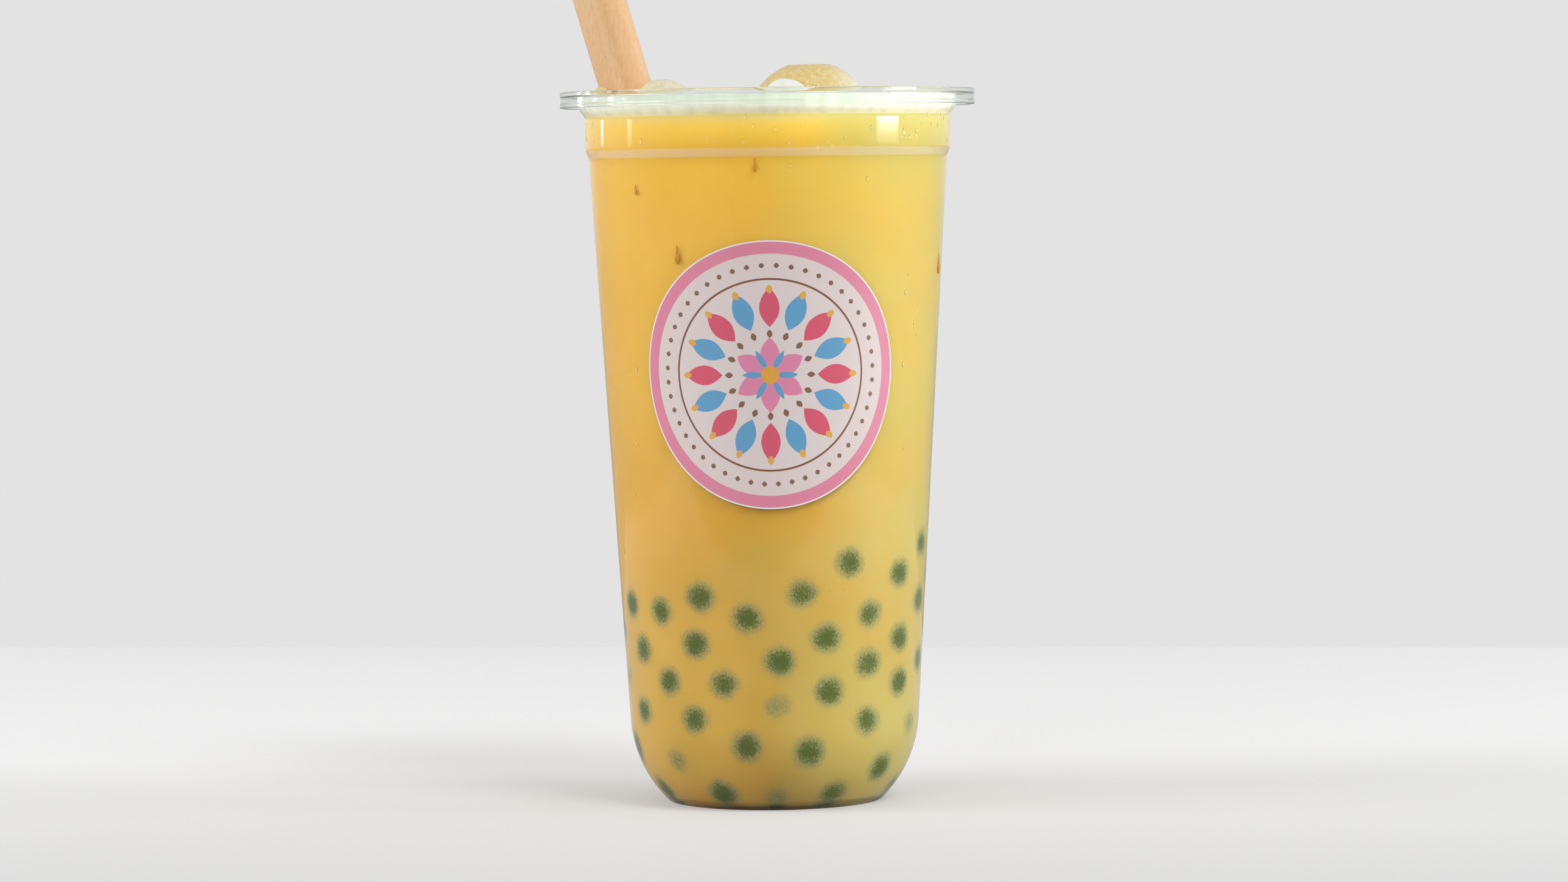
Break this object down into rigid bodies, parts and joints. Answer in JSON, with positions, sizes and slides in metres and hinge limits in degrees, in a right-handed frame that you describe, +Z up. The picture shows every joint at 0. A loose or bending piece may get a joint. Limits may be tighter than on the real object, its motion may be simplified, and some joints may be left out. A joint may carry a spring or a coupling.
{
  "type": "bubble tea",
  "caption": "Clear round-bottomed takeaway cup of yellow milk tea with green pearls, ice, a wide paper straw and a round paper label.",
  "frame": {"origin": "centre of the cup's foot ring, on the surface it stands on", "axes": "+Z up along the cup's axis, label facing -Y, straw leaning towards -X"},
  "size_m": [0.0977, 0.095, 0.2073],
  "materials": {
    "clear_cup": "clear polypropylene, glossy, moulded",
    "milk_tea": "opaque milky yellow liquid",
    "paper_straw": "smooth matt tan paper",
    "paper_label": "satin printed paper",
    "tinted_ice": "crystalline ice soaked in tea",
    "frosted_ice": "smooth frosty ice"
  },
  "bodies": {
    "root": {"cup": "clear_cup", "drink": "milk_tea", "straw": "paper_straw", "label": "paper_label", "ice_dome": "tinted_ice", "ice_cap": "frosted_ice", "ice_side": "tinted_ice", "ice_chip": "tinted_ice"}
  },
  "joints": []
}
